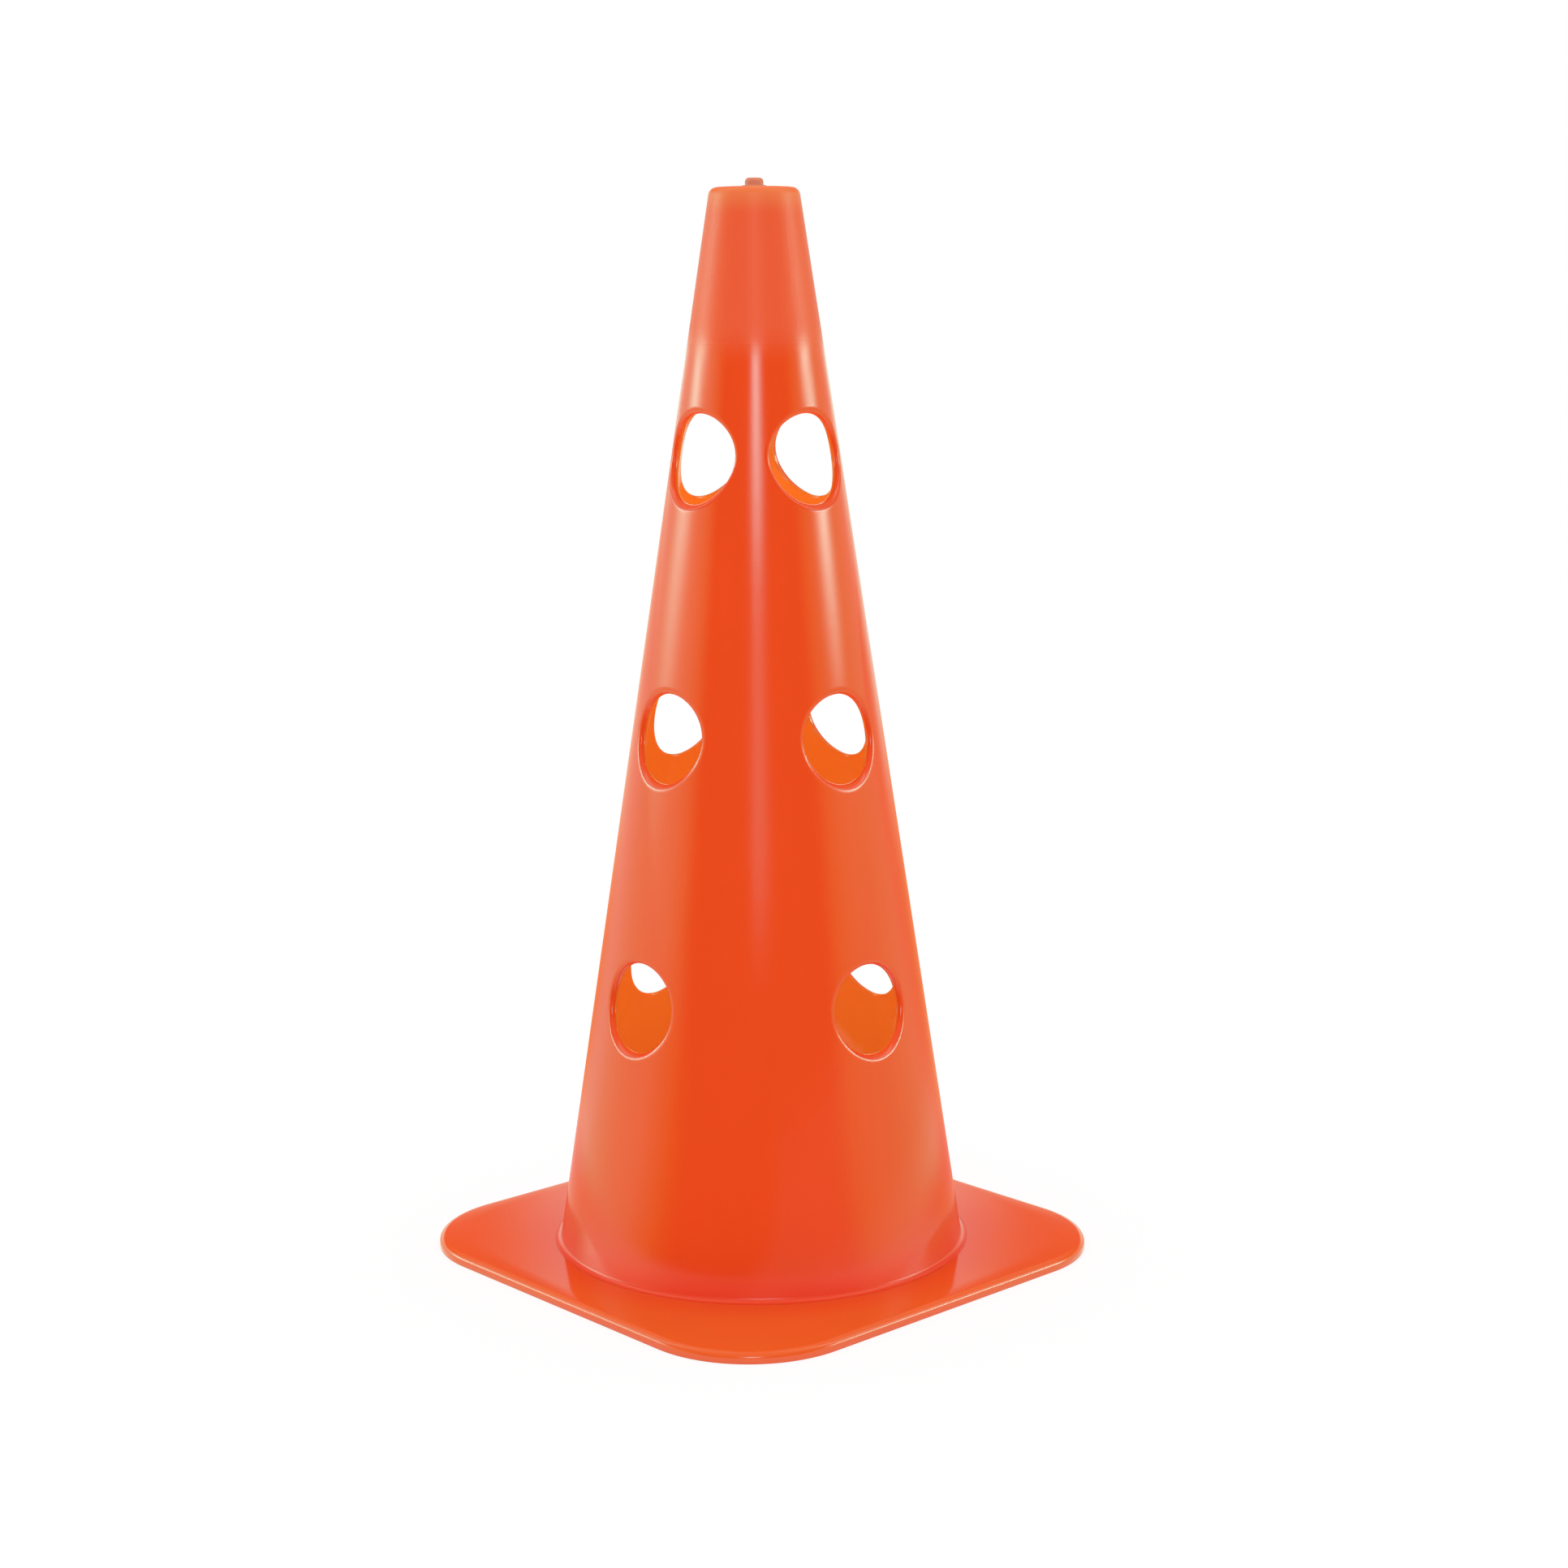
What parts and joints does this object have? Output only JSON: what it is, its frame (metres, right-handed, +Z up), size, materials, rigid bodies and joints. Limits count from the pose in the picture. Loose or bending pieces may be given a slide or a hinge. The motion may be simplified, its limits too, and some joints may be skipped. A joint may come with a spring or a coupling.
{
  "type": "sports marker cone",
  "caption": "Hollow tapered marker cone on a square round-cornered base, with rows of round cross holes for agility poles and a small plug in its flat top.",
  "frame": {"origin": "middle of the ground under the base", "axes": "+Z up along the cone's axis, X and Y square to the base's sides and along the pole holes"},
  "size_m": [0.192, 0.192, 0.3832],
  "materials": {
    "cone_plastic": "glossy orange moulded polyethylene, slightly translucent",
    "base_plastic": "glossy orange moulded polyethylene",
    "plug_plastic": "duller, slightly browner orange plastic"
  },
  "bodies": {
    "root": {"cone_shell": "cone_plastic", "base_plate": "base_plastic", "top_plug": "plug_plastic"}
  },
  "joints": []
}
